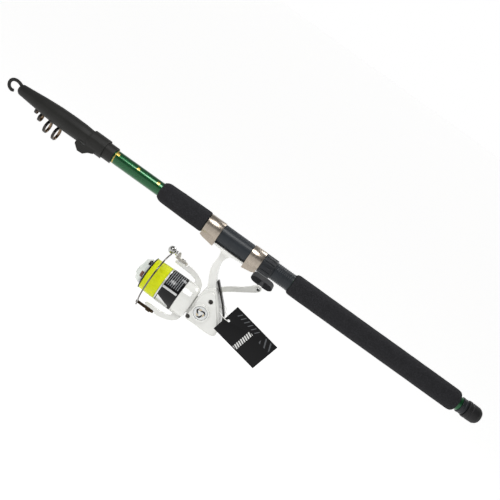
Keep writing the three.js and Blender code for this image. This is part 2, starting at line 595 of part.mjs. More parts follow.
// ---------- spool, line and drag ----------
function makeSpool() {
  const g = new THREE.Group();
  g.position.z = -SPOOL_DROP;
  root.add(g);
  const k = SKIRT;
  const spool = turned([[LIP.front, 13.4], [LIP.front, LIP.r - 0.4], [LIP.front + 0.8, LIP.r],
    [LINE.front - GAP, LIP.r - 0.6], [LINE.front - GAP, LINE.core - GAP], [LINE.rear + GAP, LINE.core - GAP],
    [LINE.rear + GAP, k.outer - 0.5], [k.front, k.outer], [k.rear, k.outer], [k.rear, k.inner],
    [k.front + 2, k.inner], [k.front + 2, SPOOL_BORE], [-57, SPOOL_BORE], [-57, 13.4],
    [LIP.front, 13.4]]);
  add(g, 'spool', spool, FINISH.plastic);
  add(g, 'line_winding', turned([[LINE.front, LINE.core], [LINE.front, LINE.frontR],
    [LINE.rear, LINE.rearR], [LINE.rear, LINE.core], [LINE.front, LINE.core]]), FINISH.line);
  add(g, 'drag_washers', ring(-61.6, -57.4, SHAFT_R + GAP, 12.6, 24), FINISH.brass);
  makeDragKnob(g);
}

function makeDragKnob(g) {
  // A cap with a dished face, and a bar across the dish for the fingers.
  const d = DRAG;
  const floor = d.front + 4.6;
  const bore = d.front + 7;
  const cap = turned([[d.rear, SPOOL_BORE], [d.rear, d.r - 0.6], [d.rear - 2.6, d.r],
    [d.front + 3, d.r - 2.6], [d.front + 1.6, d.r - 4.4], [floor, d.r - 6.2], [floor, 0],
    [bore, 0], [bore, SPOOL_BORE], [d.rear, SPOOL_BORE]]);
  const plan = smooth([[-11.8, -3.4], [11.8, -3.4], [12.8, 0], [11.8, 3.4], [-11.8, 3.4],
    [-12.8, 0]], 20);
  add(g, 'drag_knob', join(cap, lengthways(plan, d.front, d.front + 6)), FINISH.clear);
}

// ---------- crank ----------
function makeCrank() {
  const { armY, armThick } = CRANK;
  const outline = smooth([[10.4, -92], [12, -87.4], [14.4, -77], [24, -66.6], [39, -55.6],
    [53.6, -42.2], [58.6, -42.8], [59.8, -47.6], [45, -60], [30.4, -70.6], [20.6, -80],
    [20, -88], [19.4, -94.4], [13.6, -95.8]], 48);
  const arm = sideways(outline, armY, armY + armThick);
  const collar = ringY(GEAR.x, GEAR.drop, BODY.right + 5, armY + 0.5, CRANK_SHAFT_R + GAP, 4.6);
  const bolt = rodY(GEAR.x, GEAR.drop, armY + armThick - 0.4, armY + armThick + 2.4, 4.2);
  const pinWay = rodY(CRANK.x, CRANK.drop, armY - 1, armY + armThick + 1, KNOB.bore, 12);
  add(root, 'crank_arm', cut(join(arm, collar, bolt), pinWay), FINISH.white);
  const pin = rodY(CRANK.x, CRANK.drop, armY - 0.6, KNOB.far - 4, KNOB_PIN_R, 12);
  const rivet = rodY(CRANK.x, CRANK.drop, armY - 1.4, armY - GAP, KNOB_PIN_R + 1.1);
  add(root, 'knob_pin', join(pin, rivet), FINISH.steel);
}

function makeKnob() {
  // A flat paddle with two lobes on each face, on a round neck.
  const k = KNOB;
  const end = k.length / 2;
  const lobe = k.thick / 2;
  const waist = lobe - 0.3;
  const tip = lobe - 1;
  const outline = smooth([[-end, 0], [-end + 3, -tip], [-6, -lobe], [0, -waist], [6, -lobe],
    [end - 3, -tip], [end, 0], [end - 3, tip], [6, lobe], [0, waist], [-6, lobe],
    [-end + 3, tip]], 36);
  const paddle = sideways(outline, k.near, k.far).translate(CRANK.x, 0, -CRANK.drop);
  const neck = rodY(CRANK.x, CRANK.drop, k.neckNear, k.near + 1, k.neckR);
  const bore = rodY(CRANK.x, CRANK.drop, k.neckNear - 2, k.far - 3.5, k.bore, 12);
  add(root, 'knob', cut(join(paddle, neck), bore), FINISH.rubber);
}

// ---------- hang tag ----------
function makeTag() {
  const t = TAG;
  const near = t.y - t.thick / 2;
  const card = box(-t.edge, t.length - t.edge, near, near + t.thick, -t.width / 2, t.width / 2);
  const hole = rodY(0, 0, near - 1, near + t.thick + 1, 1.8, 12);
  const g = new THREE.Group();
  g.position.set(t.x, 0, -t.drop);
  g.rotation.y = THREE.MathUtils.degToRad(t.tilt);
  root.add(g);
  add(g, 'hang_tag', cut(card, hole), FINISH.card);
}

function makeTie() {
  // A nylon loop through the tag's hole, over its edge and round the strip behind the gearbox.
  const t = TAG;
  const z = -t.drop;
  const gap = 32.0;              // x where the loop passes in front of the strip
  const outer = [[gap, 0, z], [gap + 0.4, 4.2, z], [gap + 2.8, 5.6, z], [gap + 5.2, 4.4, z],
    [gap + 6, 0, z], [gap + 7, -6, z], [t.x - 0.8, -14, z], [t.x, t.y, z],
    [t.x - 1, t.y - 1.8, z]];
  const inner = [[t.x - 0.6, t.y - 1.6, z], [t.x - 4, t.y - 2.2, z], [t.x - 6.6, t.y - 1, z],
    [gap + 2.6, -17, z], [gap, -10, z], [gap, -3, z], [gap, 0.4, z]];
  const loop = join(tube(outer, TIE_R, 6, 22), tube(inner, TIE_R, 6, 16));
  add(root, 'tag_tie', loop, FINISH.nylon);
}

makeSections();
makeGuides();
makeTipCap();
makeGrips();
makeSeat();
makeHoods();
makeNut();
makeHousing();
makeCover();
makeBodyFittings();
makeLever();
makeGears();
makeShaftParts();
makeRotor();
makeSpool();
makeCrank();
makeKnob();
makeTag();
makeTie();

export default root;
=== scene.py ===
# %% [markdown]
# # A telescopic fishing rod with a spinning reel
# The frame gives every part at its real size and place. This lesson gives each one a finished
# surface and a finish named after its real material. Everything is in metres, but sizes are
# written in millimetres, as on a maker's drawing, and multiplied by MM.

# %% Load the frame
import json
import math
import bmesh
import bpy
import numpy as np
from mathutils import Matrix, Vector


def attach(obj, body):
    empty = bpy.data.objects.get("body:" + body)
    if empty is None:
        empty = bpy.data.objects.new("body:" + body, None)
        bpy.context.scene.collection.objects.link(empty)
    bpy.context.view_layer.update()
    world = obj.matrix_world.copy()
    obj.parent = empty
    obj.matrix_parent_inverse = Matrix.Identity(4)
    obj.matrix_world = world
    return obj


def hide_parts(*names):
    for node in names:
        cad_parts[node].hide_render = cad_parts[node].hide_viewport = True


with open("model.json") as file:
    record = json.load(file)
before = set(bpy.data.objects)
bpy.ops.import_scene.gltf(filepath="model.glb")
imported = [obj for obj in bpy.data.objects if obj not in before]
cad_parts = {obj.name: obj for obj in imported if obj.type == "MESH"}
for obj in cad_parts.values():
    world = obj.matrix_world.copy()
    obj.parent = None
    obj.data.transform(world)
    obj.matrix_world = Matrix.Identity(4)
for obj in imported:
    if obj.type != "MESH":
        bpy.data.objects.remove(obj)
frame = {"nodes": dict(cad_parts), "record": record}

MM = 0.001
scene = bpy.context.scene
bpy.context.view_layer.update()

# %% Places that the pieces share
SPOOL_DROP = 95.5                 # rod axis down to the spool axis
CRANK_AXIS = (15.4, 91.3)         # x and drop of the crank shaft
ROTOR_TURN = math.radians(-26)    # the rotor's turn about the spool axis
BAIL_PIVOT_X = -38.0
TURN_PITCH = 0.7                  # one turn of line beside the next, as drawn
node_body = {n: b for b, nodes in frame["record"]["behaviour"]["bodies"].items() for n in nodes}

# %% [markdown]
# ## The camera
# A long lens about 0.76 m away looks slightly down at the rod. The rod slopes down to the right
# because the camera is rolled, not because the rod is tilted, so the reel hangs square below it.

# %% Camera
CAMERA_FAR = 761.0
CAMERA_DOWN = math.radians(20)
CAMERA_ROLL = math.radians(35.7)
AIM_X = 19.4
LENS = 47.66
SENSOR = 36
SHIFT = (0.0034, 0.0046)
FAR_CLIP = 100

ahead = Vector((0, math.cos(CAMERA_DOWN), -math.sin(CAMERA_DOWN)))
level_up = Vector((0, math.sin(CAMERA_DOWN), math.cos(CAMERA_DOWN)))
right = math.cos(CAMERA_ROLL) * Vector((1, 0, 0)) + math.sin(CAMERA_ROLL) * level_up
up = math.cos(CAMERA_ROLL) * level_up - math.sin(CAMERA_ROLL) * Vector((1, 0, 0))
camera_data = bpy.data.cameras.new("camera")
camera_data.lens = LENS
camera_data.sensor_width = SENSOR
camera_data.shift_x, camera_data.shift_y = SHIFT
camera_data.clip_end = FAR_CLIP
camera = bpy.data.objects.new("camera", camera_data)
turn = Matrix((right, up, -ahead)).transposed().to_4x4()
camera.matrix_world = Matrix.Translation((Vector((AIM_X, 0, 0)) - CAMERA_FAR * ahead) * MM) @ turn
scene.collection.objects.link(camera)
scene.camera = camera
print("camera at", [round(v, 3) for v in camera.matrix_world.translation])

# %% [markdown]
# ## Floor and light
# A pale floor far below and a pale sky make white surroundings. The sky is white at the horizon,
# and dimmer overhead and high behind the camera, so that black pieces stay black. One wide lamp
# above and a smaller one behind give the long highlights on tubes.

# %% Floor, sky and lamps
FLOOR_DROP = 700.0
FLOOR_HALF = 40000.0
FLOOR_GLOW = 0.66
FLOOR_ROUGHNESS = 0.9
FLOOR_SPECULAR = 0.1
SKY_OVERHEAD = 0.3                # brightness straight up, where the horizon is 1
SKY_TAKEN = 0.6                   # the share taken away high behind the camera
OVERHEAD_RISE = (0.2, 0.7)        # upward part of a direction over which the top darkens
BEHIND_RISE = (-0.35, 0.45)       # +Y part of a direction over which the back darkens
HORIZON_RISE = (0.1, 0.3)         # upward part below which the back stays white


def hex_linear(code):
    """An sRGB hex colour as linear values with an alpha of 1."""
    parts = [int(code[i:i + 2], 16) / 255 for i in (1, 3, 5)]
    return [c / 12.92 if c <= 0.04045 else ((c + 0.055) / 1.055) ** 2.4 for c in parts] + [1.0]


def node_in(tree, kind, links=None, values=None, **settings):
    """Adds one node. Links feed its sockets, values fill them, and settings are its properties."""
    node = tree.nodes.new(kind)
    for key, value in settings.items():
        setattr(node, key, value)
    for socket, value in (values or {}).items():
        node.inputs[socket].default_value = value
    for socket, source in (links or {}).items():
        tree.links.new(source, node.inputs[socket])
    return node


def maths(tree, operation, first, second=0.0):
    """One sum on two numbers or sockets."""
    node = node_in(tree, "ShaderNodeMath", operation=operation)
    for i, value in enumerate((first, second)):
        if isinstance(value, (int, float)):
            node.inputs[i].default_value = value
        else:
            tree.links.new(value, node.inputs[i])
    return node.outputs[0]


floor_mesh = bpy.data.meshes.new("floor")
half, z = FLOOR_HALF * MM, -FLOOR_DROP * MM
floor_corners = [(-half, -half, z), (half, -half, z), (half, half, z), (-half, half, z)]
floor_mesh.from_pydata(floor_corners, [], [(0, 1, 2, 3)])
floor = bpy.data.objects.new("floor", floor_mesh)
scene.collection.objects.link(floor)
paper = bpy.data.materials.new("matt white paper")
paper.use_nodes = True
paper_shader = paper.node_tree.nodes["Principled BSDF"]
paper_shader.inputs["Base Color"].default_value = hex_linear("#fbfbfa")
paper_shader.inputs["Roughness"].default_value = FLOOR_ROUGHNESS
paper_shader.inputs["Specular IOR Level"].default_value = FLOOR_SPECULAR
paper_shader.inputs["Emission Color"].default_value = (1, 1, 1, 1)
paper_shader.inputs["Emission Strength"].default_value = FLOOR_GLOW
floor_mesh.materials.append(paper)

world = bpy.data.worlds.new("studio")
world.use_nodes = True
sky = world.node_tree
looking = node_in(sky, "ShaderNodeTexCoord").outputs["Generated"]
way = node_in(sky, "ShaderNodeSeparateXYZ", {0: looking})


def sky_ramp(source, low, high, start, end):
    """A soft step from start to end while the source goes from low to high."""
    limits = {"From Min": low, "From Max": high, "To Min": start, "To Max": end}
    ramp = node_in(sky, "ShaderNodeMapRange", {"Value": source}, limits, interpolation_type="SMOOTHSTEP")
    return ramp.outputs["Result"]


overhead = sky_ramp(way.outputs[2], *OVERHEAD_RISE, 1.0, SKY_OVERHEAD)
dimming = sky_ramp(way.outputs[1], *BEHIND_RISE, SKY_TAKEN, 0.0)
raised = sky_ramp(way.outputs[2], *HORIZON_RISE, 0.0, 1.0)
behind = maths(sky, "SUBTRACT", 1.0, maths(sky, "MULTIPLY", dimming, raised))
sky.links.new(maths(sky, "MULTIPLY", overhead, behind), sky.nodes["Background"].inputs["Color"])
sky.nodes["Background"].inputs["Strength"].default_value = 1.0
scene.world = world
scene.view_settings.view_transform = "Standard"


def lamp(name, place, aim, size, watts):
    """A square soft lamp at a place in mm, turned to face a point."""
    data = bpy.data.lights.new(name, "AREA")
    data.size = size * MM
    data.energy = watts
    obj = bpy.data.objects.new(name, data)
    obj.location = Vector(place) * MM
    obj.rotation_euler = (Vector(aim) - Vector(place)).to_track_quat("-Z", "Y").to_euler()
    scene.collection.objects.link(obj)


lamp("key", place=(-150, -350, 800), aim=(20, 0, -40), size=350, watts=5)
lamp("rim", place=(250, 500, 600), aim=(0, 0, -60), size=300, watts=2.5)
print("floor", FLOOR_DROP, "mm down, two lamps")

# %% [markdown]
# ## Surfaces
# Most of a rod is turned or moulded round an axis, so one function carries a profile round a
# line along X. A second carries a circle along a path, for wire. Parts that come out of a mould
# with soft edges are copies of the frame's solid, rebuilt on a fine grid and smoothed, which
# rounds the corners as a mould does. Metal parts keep crisp edges with a small bevel.

# %% Mesh helpers
SMOOTH_ANGLE = math.radians(38)
BEVEL_ANGLE = math.radians(32)
BEVEL_SEGMENTS = 2
RELAX = 0.5
MERGE = 1e-7                      # metres between corners that are one corner
FRAME_MERGE = 2e-6                # the same, for the frame's rounded numbers
SLIVER = 1e-6
CORNER_SHARE = 0.45               # how much of an edge its rounded corner may take
CAP_GROW = np.array([0, 0.6, 0.9])       # radius of the rings that close a wire, as a share
CAP_PUSH = np.array([0.95, 0.75, 0.4])   # how far past the wire's end they lie, as a share
ANY_SIDE = (0.31, 0.9, 0.3)       # a direction that no wire starts along


def piece_from(name, verts, faces):
    """A finished object from vertices in metres and faces, with doubles merged and faces outwards."""
    mesh = bpy.data.meshes.new(name)
    mesh.from_pydata(np.asarray(verts).tolist(), [], [tuple(f) for f in faces])
    work = bmesh.new()
    work.from_mesh(mesh)
    bmesh.ops.remove_doubles(work, verts=work.verts, dist=MERGE)
    bmesh.ops.recalc_face_normals(work, faces=work.faces)
    work.to_mesh(mesh)
    work.free()
    mesh.shade_smooth()
    mesh.set_sharp_from_angle(angle=SMOOTH_ANGLE)
    obj = bpy.data.objects.new(name, mesh)
    scene.collection.objects.link(obj)
    return obj


def grid_faces(rows, cols, wrap_rows=False):
    """Quads of a grid that closes round its columns, and round its rows too if asked."""
    i = np.arange(rows if wrap_rows else rows - 1)[:, None]
    j = np.arange(cols)[None, :]
    a = i * cols + j
    b = i * cols + (j + 1) % cols
    c = (i + 1) % rows * cols + (j + 1) % cols
    d = (i + 1) % rows * cols + j
    return np.stack([a, b, c, d], axis=-1).reshape(-1, 4).tolist()


def rounded(profile, radius=0.6, steps=4):
    """Each inner corner of a profile replaced by a curve that starts and ends radius away from it."""
    p = np.array(profile, float)
    out = [p[0]]
    for before, corner, after in zip(p[:-2], p[1:-1], p[2:]):
        back, on = before - corner, after - corner
        reach = min(radius, CORNER_SHARE * np.linalg.norm(back), CORNER_SHARE * np.linalg.norm(on))
        start = corner + back / np.linalg.norm(back) * reach
        end = corner + on / np.linalg.norm(on) * reach
        for t in np.linspace(0, 1, steps):
            out.append((1 - t) ** 2 * start + 2 * t * (1 - t) * corner + t ** 2 * end)
    out.append(p[-1])
    return np.array(out)


def lathe(name, profile, drop=0.0, sides=96, shape=None):
    """A profile of (x, r) carried round X: (x, r cos a, r sin a - drop). shape may change r."""
    p = np.asarray(profile, float)
    ring = bool(np.allclose(p[0], p[-1]))
    if ring:
        p = p[:-1]
    a = np.linspace(0, 2 * np.pi, sides, endpoint=False)[None, :]
    x = np.repeat(p[:, :1], sides, axis=1)
    r = np.repeat(p[:, 1:], sides, axis=1)
    if shape is not None:
        r = shape(x, r, np.repeat(a, len(p), axis=0))
    verts = np.stack([x, r * np.cos(a), r * np.sin(a) - drop], axis=-1).reshape(-1, 3) * MM
    return piece_from(name, verts, grid_faces(len(p), sides, ring))


def curve_through(points, steps):
    """A path through given points: a Catmull-Rom spline sampled evenly in its parameter."""
    p = np.asarray(points, float)
    p = np.vstack([2 * p[0] - p[1], p, 2 * p[-1] - p[-2]])
    t = np.linspace(0, len(p) - 3 - 1e-9, steps)
    k = t.astype(int)
    f = (t - k)[:, None]
    a, b, c, d = p[k], p[k + 1], p[k + 2], p[k + 3]
    square = 2 * a - 5 * b + 4 * c - d
    cube = 3 * b - a - 3 * c + d
    return 0.5 * (2 * b + (c - a) * f + square * f ** 2 + cube * f ** 3)


def wire(name, path, radius, sides=14, place=None):
    """A circle carried along a path, with round ends: path + radius (n cos a + b sin a)."""
    path = np.asarray(path, float)
    along = np.gradient(path, axis=0)
    along /= np.linalg.norm(along, axis=1)[:, None]
    side = np.cross(along[0], ANY_SIDE)
    sides_list = []
    for t in along:
        side = side - t * np.dot(side, t)
        side = side / np.linalg.norm(side)
        sides_list.append(side)
    n = np.array(sides_list)
    b = np.cross(along, n)
    caps = len(CAP_GROW)
    grow = np.concatenate([CAP_GROW, np.ones(len(path)), CAP_GROW[::-1]])
    push = np.concatenate([-CAP_PUSH, np.zeros(len(path)), CAP_PUSH[::-1]]) * radius
    index = np.concatenate([[0] * caps, np.arange(len(path)), [-1] * caps]).astype(int)
    a = np.linspace(0, 2 * np.pi, sides, endpoint=False)[None, :, None]
    circle = n[index][:, None] * np.cos(a) + b[index][:, None] * np.sin(a)
    centres = path[index][:, None] + along[index][:, None] * push[:, None, None]
    verts = centres + radius * grow[:, None, None] * circle
    verts = verts.reshape(-1, 3)
    if place is not None:
        verts = place(verts)
    return piece_from(name, verts * MM, grid_faces(len(grow), sides))


def on_rotor(points):
    """Points beside the rotor's own axes turned about the spool axis and dropped to it."""
    c, s = math.cos(ROTOR_TURN), math.sin(ROTOR_TURN)
    x, y, z = np.asarray(points, float).T
    return np.stack([x, y * c - z * s, y * s + z * c - SPOOL_DROP], axis=-1)


def merged_copy(node, name):
    """The frame's solid as a new object, with the triangles' shared corners merged."""
    mesh = frame["nodes"][node].data.copy()
    mesh.materials.clear()
    work = bmesh.new()
    work.from_mesh(mesh)
    bmesh.ops.remove_doubles(work, verts=work.verts, dist=FRAME_MERGE)
    bmesh.ops.dissolve_degenerate(work, edges=work.edges, dist=SLIVER)
    work.to_mesh(mesh)
    work.free()
    obj = bpy.data.objects.new(name, mesh)
    scene.collection.objects.link(obj)
    return obj


def settled(obj):
    """Applies an object's modifiers to its mesh."""
    bpy.context.view_layer.update()
    graph = bpy.context.evaluated_depsgraph_get()
    mesh = bpy.data.meshes.new_from_object(obj.evaluated_get(graph))
    obj.modifiers.clear()
    obj.data = mesh
    mesh.shade_smooth()
    return obj


def moulded(node, voxel=0.5, passes=6):
    """A soft-edged moulding: the frame's solid on a voxel grid, then averaged a few times."""
    obj = merged_copy(node, node + "_moulded")
    remesh = obj.modifiers.new("grid", "REMESH")
    remesh.mode = "VOXEL"
    remesh.voxel_size = voxel * MM
    relax = obj.modifiers.new("relax", "SMOOTH")
    relax.factor = RELAX
    relax.iterations = passes
    return settled(obj)


def crisp(node, width=0.3):
    """A machined or pressed part: the frame's solid with a small bevel on its real edges."""
    obj = merged_copy(node, node + "_finished")
    bevel = obj.modifiers.new("edge", "BEVEL")
    bevel.width = width * MM
    bevel.segments = BEVEL_SEGMENTS
    bevel.limit_method = "ANGLE"
    bevel.angle_limit = BEVEL_ANGLE
    settled(obj)
    obj.data.set_sharp_from_angle(angle=SMOOTH_ANGLE)
    return obj


def stands_for(obj, node, material):
    """Dresses a piece, hides the frame's node and lets the piece ride where the node rode."""
    obj.data.materials.clear()
    obj.data.materials.append(material)
    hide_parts(node)
    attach(obj, node_body[node])
    return obj


print("helpers ready")

# %% [markdown]
# ## Finishes
# Each finish starts from a Principled shader. A noise or a wave on Object coordinates, scaled
# from a real size in millimetres, breaks up its colour, roughness and bump. Real plastic is never
# one even value, and this is what lets the eye read foam, lacquer, chrome and card apart.

# %% A base for every finish
COAT_ROUGHNESS = 0.05


def finish(name, colour, rough, metal=0.0, coat=0.0, **sockets):
    """A new material. Returns it with its node tree, its shader and the Object coordinates in mm."""
    m = bpy.data.materials.new(name)
    m.use_nodes = True
    tree = m.node_tree
    shader = tree.nodes["Principled BSDF"]
    shader.inputs["Base Color"].default_value = hex_linear(colour)
    shader.inputs["Roughness"].default_value = rough
    shader.inputs["Metallic"].default_value = metal
    shader.inputs["Coat Weight"].default_value = coat
    shader.inputs["Coat Roughness"].default_value = COAT_ROUGHNESS
    for key, value in sockets.items():
        shader.inputs[key.replace("_", " ")].default_value = value
    m.diffuse_color = hex_linear(colour)
    place = node_in(tree, "ShaderNodeTexCoord").outputs["Object"]
    in_mm = node_in(tree, "ShaderNodeVectorMath", {0: place}, {"Scale": 1 / MM}, operation="SCALE")
    return m, tree, shader, in_mm.outputs[0]


def stretched(tree, vector, x, y, z):
    """The coordinates scaled along each axis, so that a pattern is longer one way."""
    scale = {1: (x, y, z)}
    return node_in(tree, "ShaderNodeVectorMath", {0: vector}, scale, operation="MULTIPLY").outputs[0]


def noise(tree, vector, size, detail=3.0):
    """Cloudy noise whose blobs are about size mm across."""
    values = {"Scale": 1 / size, "Detail": detail}
    return node_in(tree, "ShaderNodeTexNoise", {"Vector": vector}, values).outputs["Fac"]


def cells(tree, vector, size):
    """How far a point is from the middle of its cell, for cells about size mm across."""
    values = {"Scale": 1 / size}
    return node_in(tree, "ShaderNodeTexVoronoi", {"Vector": vector}, values).outputs["Distance"]


def between(tree, factor, low, high, start=0.0, end=1.0):
    """A number that goes from low to high as the factor goes from start to end."""
    limits = {"From Min": start, "From Max": end, "To Min": low, "To Max": high}
    return node_in(tree, "ShaderNodeMapRange", {"Value": factor}, limits).outputs["Result"]


def blended(tree, factor, first, second):
    """Two colours, or a colour over a socket's colour, mixed by a factor."""
    node = node_in(tree, "ShaderNodeMix", data_type="RGBA")
    tree.links.new(factor, node.inputs[0])
    for socket, value in ((6, first), (7, second)):
        if isinstance(value, str):
            node.inputs[socket].default_value = hex_linear(value)
        else:
            tree.links.new(value, node.inputs[socket])
    return node.outputs[2]


def relief(tree, shader, height, depth):
    """Bump of a depth in mm from a height that goes from 0 to 1."""
    node = node_in(tree, "ShaderNodeBump", {"Height": height}, {"Distance": depth * MM, "Strength": 1.0})
    tree.links.new(node.outputs["Normal"], shader.inputs["Normal"])


def inside(tree, value, low, high):
    """1 where a value lies between two limits, and 0 elsewhere."""
    above = maths(tree, "GREATER_THAN", value, low)
    return maths(tree, "MULTIPLY", above, maths(tree, "LESS_THAN", value, high))


def both(tree, first, *others):
    """1 where every one of the masks is 1."""
    for other in others:
        first = maths(tree, "MULTIPLY", first, other)
    return first


print("finish helpers ready")

# %% [markdown]
# ### Rod finishes
# The blank is glass fibre under green metallic lacquer. The grips are EVA foam, cut and ground,
# so they are full of fine open cells. The seat is graphite-filled nylon, and its hoods are spun
# from stainless steel with a brushed turn left on them.

# %% Lacquer, foam, nylon and steel
FLAKE = 0.25
GOLD_RING = (-168.2, -167.2)      # along the rod
MARK_PITCH = 28.0
MARK_SPAN = (9.0, 12.5)           # along the rod, within one pitch
MARK_Y = (-6.5, -2.2)
MARK_Z = (3.0, 7.5)
KEEP_POSITIVE = 400.0             # shifts x so that its remainder is never negative
FOAM_CELL = 0.9


def green_lacquer():
    """Green lacquer with metal flakes under clear coat, a gold ring near the cap and gold marks."""
    m, t, s, v = finish("green metallic lacquer", "#075a2c", 0.3, metal=0.7, coat=0.6)
    glitter = blended(t, between(t, cells(t, v, FLAKE), 0, 1, 0.1, 0.7), "#0c7a3e", "#033318")
    x, y, z = node_in(t, "ShaderNodeSeparateXYZ", {0: v}).outputs
    ring = inside(t, x, *GOLD_RING)
    tick = inside(t, maths(t, "MODULO", maths(t, "ADD", x, KEEP_POSITIVE), MARK_PITCH), *MARK_SPAN)
    mark = both(t, tick, inside(t, y, *MARK_Y), inside(t, z, *MARK_Z))
    gold = maths(t, "MAXIMUM", ring, mark)
    t.links.new(blended(t, gold, glitter, "#c9a94e"), s.inputs["Base Color"])
    t.links.new(between(t, noise(t, v, 6.0), 0.22, 0.36), s.inputs["Roughness"])
    return m


def dark_lacquer():
    """The thin inner sections: charcoal lacquer with a faint cloth pattern of 1.2 mm."""
    m, t, s, v = finish("charcoal lacquer", "#1b1d20", 0.3, coat=0.8)
    weave = noise(t, stretched(t, v, 0.4, 1, 1), 1.2)
    t.links.new(blended(t, weave, "#121315", "#2a2d31"), s.inputs["Base Color"])
    t.links.new(between(t, weave, 0.25, 0.4), s.inputs["Roughness"])
    return m


def eva_foam():
    """EVA foam: cut cells about 0.5 mm across, drawn at 0.9 mm so that they show."""
    m, t, s, v = finish("cut EVA foam", "#262628", 0.9, Specular_IOR_Level=0.15)
    cloud = noise(t, v, 9.0, 4.0)
    speck = between(t, cells(t, v, FOAM_CELL), 0, 1, 0.1, 0.8)
    mixed = maths(t, "ADD", maths(t, "MULTIPLY", speck, 0.7), maths(t, "MULTIPLY", cloud, 0.3))
    t.links.new(blended(t, mixed, "#121213", "#333336"), s.inputs["Base Color"])
    t.links.new(between(t, cloud, 0.82, 0.95), s.inputs["Roughness"])
    relief(t, s, speck, 0.25)
    return m


def seat_nylon(name, colour, deep, rough):
    """Filled nylon: even colour, a light orange-peel of about 1.5 mm."""
    m, t, s, v = finish(name, colour, rough, Specular_IOR_Level=0.3)
    peel = noise(t, v, 1.5)
    t.links.new(blended(t, noise(t, v, 14.0), deep, colour), s.inputs["Base Color"])
    t.links.new(between(t, peel, rough - 0.06, rough + 0.08), s.inputs["Roughness"])
    relief(t, s, peel, 0.02)
    return m


def brushed_steel():
    """Stainless steel brushed round the rod: streaks 12 times longer round it than along it."""
    m, t, s, v = finish("brushed stainless steel", "#a89b8c", 0.25, metal=1.0)
    streaks = noise(t, stretched(t, v, 1.0, 0.08, 0.08), 0.35, 4.0)
    t.links.new(blended(t, streaks, "#7c7064", "#c9bfb2"), s.inputs["Base Color"])
    t.links.new(between(t, streaks, 0.2, 0.38), s.inputs["Roughness"])
    relief(t, s, streaks, 0.01)
    return m


GREEN = green_lacquer()
CHARCOAL = dark_lacquer()
FOAM = eva_foam()
SATIN = seat_nylon("satin black polypropylene", "#232321", "#161614", 0.5)
GRAPHITE = seat_nylon("graphite-filled nylon", "#2c3136", "#1d2125", 0.36)
NUT_NYLON = seat_nylon("ribbed black nylon", "#26292d", "#17191c", 0.42)
RUBBER = seat_nylon("black rubber", "#1f1f20", "#141415", 0.55)
STEEL = brushed_steel()
print("rod finishes:", len(bpy.data.materials))

# %% [markdown]
# ### Reel finishes
# The body is gloss white ABS. The spool's skirt is black gloss with a silver panel and fine grey
# lines round it, which are a plain pattern of this lesson's own. The line is wound nylon
# monofilament, and the bail and its ball are chrome-plated.

# %% Plastic, chrome, brass, line and print
SKIRT_PRINT = (-39.0, -19.4)      # x of the printed part of the skirt
SKIRT_BAND = (-41.4, -39.4)
WEDGE_X = (-38.4, -21.0)
WEDGE_ANGLE = (-1.95, -1.05)
WEDGE_LEAN = 0.022                # angle gained per mm along the spool
LINED_ANGLE = (0.55, 2.2)
# angles round the skirt of a painted highlight streak
PAINTED_HIGHLIGHT_ANGLE = (0.3, 0.42)
LINED_PITCH = 2.6
LINED_WIDTH = 1.0
CARD_MIDDLE = (47.2, 0, -75.6)
CARD_TILT = math.radians(11)
# patches in the knob's flank: brown click parts under painted recess shade, and black painted recess shade
BROWN_X, BROWN_ANGLE = (-69.4, -65.6), (-0.12, 0.34)
RECESS_SHADE_X, RECESS_SHADE_ANGLE = (-68.6, -65.4), (0.95, 1.5)
DARK_ARCS = (2.4, 6.2)            # distance from the disc's middle
GOLD_ARCS = (3.6, 5.0)


def gloss_abs(name, colour, shade):
    """Moulded gloss ABS: nearly even, with a soft waviness 10 mm across."""
    m, t, s, v = finish(name, colour, 0.22, coat=0.6)
    t.links.new(blended(t, noise(t, v, 10.0), shade, colour), s.inputs["Base Color"])
    t.links.new(between(t, noise(t, v, 3.0), 0.18, 0.3), s.inputs["Roughness"])
    return m


def plated(name, light, dark, rough):
    """Plated metal: faint smears about 4 mm across dull the mirror."""
    m, t, s, v = finish(name, light, rough, metal=1.0)
    smear = noise(t, v, 4.0)
    t.links.new(blended(t, smear, dark, light), s.inputs["Base Color"])
    t.links.new(between(t, smear, rough * 0.7, rough * 1.5), s.inputs["Roughness"])
    return m


def spool_polar(t, v):
    """x along the spool, and the angle round it from the side that faces -Y."""
    p = node_in(t, "ShaderNodeSeparateXYZ", {0: v})
    z = maths(t, "ADD", p.outputs[2], SPOOL_DROP)
    angle = maths(t, "ARCTAN2", z, maths(t, "MULTIPLY", p.outputs[1], -1.0))
    return p.outputs[0], angle


def spool_skirt():
    """Black gloss with a silver front band, a silver wedge low down, grey lines higher up and a painted
    highlight streak.
    """
    m, t, s, v = finish("black gloss spool with silver print", "#0c0c0d", 0.12, Specular_IOR_Level=0.3)
    x, angle = spool_polar(t, v)
    skirt = inside(t, x, *SKIRT_PRINT)
    lean = maths(t, "ADD", angle, maths(t, "MULTIPLY", x, WEDGE_LEAN))
    wedge = both(t, inside(t, lean, *WEDGE_ANGLE), inside(t, x, *WEDGE_X))
    lines = inside(t, maths(t, "MODULO", maths(t, "ADD", x, 100.0), LINED_PITCH), 0.0, LINED_WIDTH)
    lined = both(t, inside(t, angle, *LINED_ANGLE), skirt, lines)
    # Painted highlight: a pale silver streak laid round the black skirt.
    painted_highlight_streak = both(t, inside(t, angle, *PAINTED_HIGHLIGHT_ANGLE), skirt)
    band = inside(t, x, *SKIRT_BAND)
    # The silver print and the painted highlight streak together.
    print_and_painted_highlight = maths(t, "MAXIMUM", maths(t, "MAXIMUM", wedge, painted_highlight_streak), band)
    worn = blended(t, noise(t, v, 5.0), "#0a0a0b", "#18181a")
    grey = blended(t, lined, worn, "#8d8f92")
    t.links.new(blended(t, print_and_painted_highlight, grey, "#e2e3e2"), s.inputs["Base Color"])
    t.links.new(between(t, print_and_painted_highlight, 0.12, 0.3), s.inputs["Roughness"])
    t.links.new(maths(t, "MULTIPLY", print_and_painted_highlight, 0.5), s.inputs["Metallic"])
    return m


